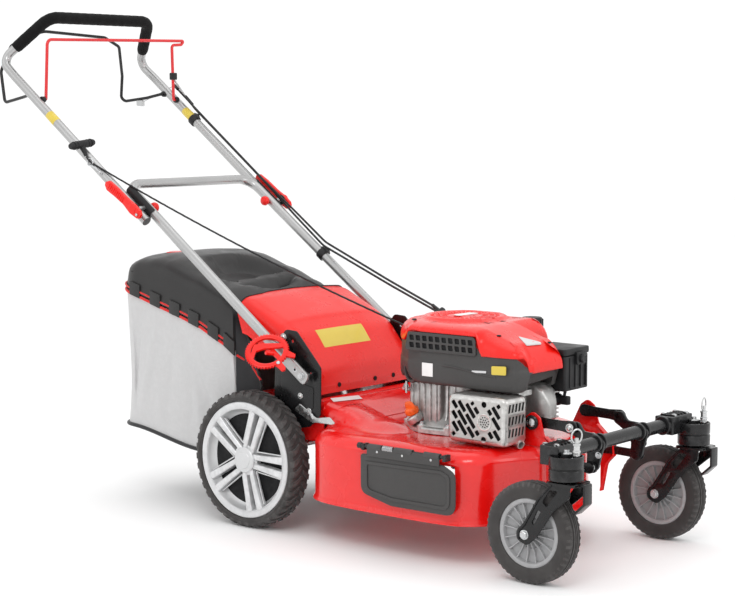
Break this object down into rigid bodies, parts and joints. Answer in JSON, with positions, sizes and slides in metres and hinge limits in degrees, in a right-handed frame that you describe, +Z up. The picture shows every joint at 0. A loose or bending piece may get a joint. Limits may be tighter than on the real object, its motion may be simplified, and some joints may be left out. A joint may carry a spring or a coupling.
{
  "type": "push lawn mower",
  "caption": "Self-propelled petrol lawn mower with steel deck, swivelling front casters, large rear wheels, folding tube handle and rear grass bag.",
  "frame": {"origin": "on the ground, midway along the overall length and on the centre plane", "axes": "+Z up, -Y the way the mower travels forward, -X its right-hand side"},
  "size_m": [0.5766, 1.7768, 1.1571],
  "materials": {
    "deck_red": "glossy red stove enamel",
    "steel_black": "satin black powder coat",
    "red_plastic": "glossy red moulded plastic",
    "black_plastic": "fine-grained black moulded plastic",
    "grey_plastic": "dark grey moulded plastic",
    "tube_silver": "silver metallic lacquer on steel tube",
    "cast_aluminium": "die-cast, lightly blasted",
    "zinc": "bright zinc plated steel",
    "tyre": "dark moulded tyre rubber",
    "rim_silver": "silver moulded wheel centre",
    "rim_grey": "grey moulded caster centre",
    "fabric": "light grey woven polyester",
    "orange": "orange moulded plastic",
    "foam": "closed-cell foam grip",
    "belt": "fabric-covered rubber belt",
    "red_wire": "red dip-coated steel rod",
    "cable": "black cable sheath"
  },
  "bodies": {
    "chassis": {"deck": "deck_red", "front_bracket_right": "deck_red", "front_bracket_left": "deck_red", "handle_plate_right": "steel_black", "handle_plate_left": "steel_black", "side_flap_rod": "steel_black", "crankcase": "cast_aluminium", "muffler_guard": "cast_aluminium", "valve_cover": "cast_aluminium", "spark_cap": "black_plastic", "shroud": "grey_plastic", "recoil_cover": "red_plastic", "air_filter": "black_plastic", "gearbox": "cast_aluminium", "drive_belt": "belt"},
    "crank": {"crankshaft": "zinc", "blade": "steel_black"},
    "gearbox_input": {"gearbox_pulley": "zinc"},
    "fuel_cap": {"fuel_cap": "black_plastic"},
    "dipstick": {"dipstick": "orange"},
    "side_flap": {"side_flap": "black_plastic"},
    "rear_flap": {"rear_flap": "red_plastic"},
    "grass_bag": {"bag_body": "fabric", "bag_cover": "black_plastic"},
    "bag_indicator": {"bag_indicator": "red_plastic"},
    "rear_axle": {"rear_axle": "zinc"},
    "rear_wheel_right": {"rear_tyre_right": "tyre", "rear_rim_right": "rim_silver"},
    "rear_wheel_left": {"rear_tyre_left": "tyre", "rear_rim_left": "rim_silver"},
    "height_lever": {"height_lever": "zinc"},
    "upper_links": {"upper_link_right": "steel_black", "upper_link_left": "steel_black"},
    "lower_links": {"lower_link_right": "steel_black", "lower_link_left": "steel_black"},
    "front_axle": {"axle_tube": "steel_black", "caster_head_right": "steel_black", "caster_head_left": "steel_black"},
    "caster_fork_right": {"caster_fork_right": "steel_black"},
    "caster_fork_left": {"caster_fork_left": "steel_black"},
    "caster_wheel_right": {"caster_tyre_right": "tyre", "caster_rim_right": "rim_grey"},
    "caster_wheel_left": {"caster_tyre_left": "tyre", "caster_rim_left": "rim_grey"},
    "lock_pin_right": {"lock_pin_right": "zinc"},
    "lock_pin_left": {"lock_pin_left": "zinc"},
    "lower_handle": {"lower_handle": "tube_silver", "drive_cable": "cable", "opc_cable": "cable", "starter_rope": "cable"},
    "ring_lock_right": {"ring_lock_right": "red_plastic"},
    "ring_lock_left": {"ring_lock_left": "red_plastic"},
    "upper_handle": {"upper_handle": "tube_silver", "grip": "foam", "rope_guide": "zinc"},
    "cam_lever_right": {"cam_lever_right": "red_plastic"},
    "cam_lever_left": {"cam_lever_left": "red_plastic"},
    "opc_bail": {"opc_bail": "steel_black"},
    "drive_bail": {"drive_bail": "red_wire"},
    "starter_grip": {"starter_grip": "black_plastic"}
  },
  "joints": [
    {"name": "crank_spin", "type": "hinge", "parent": "chassis", "child": "crank", "pos_m": [0, -0.4114, 0.105], "axis": [0, 0, 1], "continuous": true},
    {"name": "gearbox_spin", "type": "hinge", "parent": "chassis", "child": "gearbox_input", "pos_m": [0.096, -0.1004, 0.155], "axis": [0, 0, 1], "continuous": true},
    {"name": "fuel_cap_turn", "type": "hinge", "parent": "chassis", "child": "fuel_cap", "pos_m": [0.112, -0.5084, 0.446], "axis": [0, 0, 1], "continuous": true},
    {"name": "dipstick_turn", "type": "hinge", "parent": "chassis", "child": "dipstick", "pos_m": [-0.12, -0.3644, 0.277], "axis": [-0.34, 0.204, 0.918], "continuous": true},
    {"name": "side_flap_hinge", "type": "hinge", "parent": "chassis", "child": "side_flap", "pos_m": [-0.277, -0.3684, 0.231], "axis": [0, 1, 0], "range_deg": [0, 80], "stiffness_Nm_per_rad": 0.35, "springref_deg": -34.38},
    {"name": "rear_flap_hinge", "type": "hinge", "parent": "chassis", "child": "rear_flap", "pos_m": [0, -0.1284, 0.303], "axis": [-1, 0, 0], "range_deg": [-72, 0], "stiffness_Nm_per_rad": 0.5, "springref_deg": 34.38},
    {"name": "grass_bag_slide", "type": "slide", "parent": "chassis", "child": "grass_bag", "axis": [0, 1, 0], "range_m": [0, 0.45]},
    {"name": "bag_indicator_lift", "type": "hinge", "parent": "grass_bag", "child": "bag_indicator", "pos_m": [-0.055, 0.3826, 0.58], "axis": [1, 0, 0], "range_deg": [0, 35]},
    {"name": "rear_lift", "type": "hinge", "parent": "chassis", "child": "rear_axle", "pos_m": [0, -0.0434, 0.177], "axis": [1, 0, 0], "range_deg": [0, 49]},
    {"name": "rear_wheel_right_spin", "type": "hinge", "parent": "rear_axle", "child": "rear_wheel_right", "pos_m": [-0.223, 0.0116, 0.152], "axis": [1, 0, 0], "continuous": true},
    {"name": "rear_wheel_left_spin", "type": "hinge", "parent": "rear_axle", "child": "rear_wheel_left", "pos_m": [0.223, 0.0116, 0.152], "axis": [1, 0, 0], "continuous": true},
    {"name": "height_lever_swing", "type": "hinge", "parent": "chassis", "child": "height_lever", "pos_m": [-0.194, -0.1404, 0.258], "axis": [1, 0, 0], "range_deg": [-24.45, 0]},
    {"name": "front_lift", "type": "hinge", "parent": "chassis", "child": "upper_links", "pos_m": [0, -0.6614, 0.289], "axis": [1, 0, 0], "range_deg": [-34.7, 0]},
    {"name": "lower_link_swing", "type": "hinge", "parent": "chassis", "child": "lower_links", "pos_m": [0, -0.7074, 0.212], "axis": [1, 0, 0], "range_deg": [-34.7, 0]},
    {"name": "front_axle_level", "type": "hinge", "parent": "upper_links", "child": "front_axle", "pos_m": [0, -0.7484, 0.286], "axis": [1, 0, 0], "range_deg": [0, 34.7]},
    {"name": "caster_swivel_right", "type": "hinge", "parent": "front_axle", "child": "caster_fork_right", "pos_m": [-0.242, -0.8374, 0.23], "axis": [0, 0, 1], "continuous": true},
    {"name": "caster_spin_right", "type": "hinge", "parent": "caster_fork_right", "child": "caster_wheel_right", "pos_m": [-0.242, -0.7614, 0.1016], "axis": [1, 0, 0], "continuous": true},
    {"name": "lock_pin_pull_right", "type": "slide", "parent": "front_axle", "child": "lock_pin_right", "axis": [0, 0, 1], "range_m": [-0.008, 0]},
    {"name": "caster_swivel_left", "type": "hinge", "parent": "front_axle", "child": "caster_fork_left", "pos_m": [0.242, -0.8374, 0.23], "axis": [0, 0, 1], "continuous": true},
    {"name": "caster_spin_left", "type": "hinge", "parent": "caster_fork_left", "child": "caster_wheel_left", "pos_m": [0.242, -0.7614, 0.1016], "axis": [1, 0, 0], "continuous": true},
    {"name": "lock_pin_pull_left", "type": "slide", "parent": "front_axle", "child": "lock_pin_left", "axis": [0, 0, 1], "range_m": [-0.008, 0]},
    {"name": "lower_handle_fold", "type": "hinge", "parent": "chassis", "child": "lower_handle", "pos_m": [0, -0.1277, 0.3476], "axis": [-1, 0, 0], "range_deg": [-120, 8], "deforming": ["starter_rope", "drive_cable", "opc_cable"]},
    {"name": "upper_handle_fold", "type": "hinge", "parent": "lower_handle", "child": "upper_handle", "pos_m": [0, 0.3481, 0.6962], "axis": [1, 0, 0], "range_deg": [0, 150]},
    {"name": "ring_lock_right_turn", "type": "hinge", "parent": "lower_handle", "child": "ring_lock_right", "pos_m": [-0.227, -0.06478, 0.3937], "axis": [0, 0.8067, 0.591], "range_deg": [-60, 0]},
    {"name": "ring_lock_left_turn", "type": "hinge", "parent": "lower_handle", "child": "ring_lock_left", "pos_m": [0.227, -0.06478, 0.3937], "axis": [0, 0.8067, 0.591], "range_deg": [0, 60]},
    {"name": "cam_lever_right_turn", "type": "hinge", "parent": "upper_handle", "child": "cam_lever_right", "pos_m": [-0.252, 0.33035, 0.6832], "axis": [0, -0.591, 0.8067], "range_deg": [0, 100]},
    {"name": "cam_lever_left_turn", "type": "hinge", "parent": "upper_handle", "child": "cam_lever_left", "pos_m": [0.252, 0.33035, 0.6832], "axis": [0, -0.591, 0.8067], "range_deg": [-100, 0]},
    {"name": "opc_bail_squeeze", "type": "hinge", "parent": "upper_handle", "child": "opc_bail", "pos_m": [0, 0.7346, 0.96], "axis": [1, 0, 0], "range_deg": [0, 20], "stiffness_Nm_per_rad": 4, "springref_deg": -22.92},
    {"name": "drive_bail_squeeze", "type": "hinge", "parent": "upper_handle", "child": "drive_bail", "pos_m": [0, 0.6906, 0.945], "axis": [1, 0, 0], "range_deg": [-20, 0], "stiffness_Nm_per_rad": 4, "springref_deg": 22.92},
    {"name": "starter_pull", "type": "slide", "parent": "upper_handle", "child": "starter_grip", "axis": [-0.3506, 0.5009, 0.7913], "range_m": [0, 0.5], "stiffness_N_per_m": 20, "springref_m": -0.4}
  ],
  "couplings": [
    {"joint": "gearbox_spin", "follows": "crank_spin", "ratio": 1.1},
    {"joint": "lower_link_swing", "follows": "front_lift", "ratio": 1},
    {"joint": "front_axle_level", "follows": "front_lift", "ratio": -1},
    {"joint": "rear_lift", "follows": "front_lift", "ratio": -1.4092},
    {"joint": "height_lever_swing", "follows": "front_lift", "ratio": 0.7045}
  ]
}
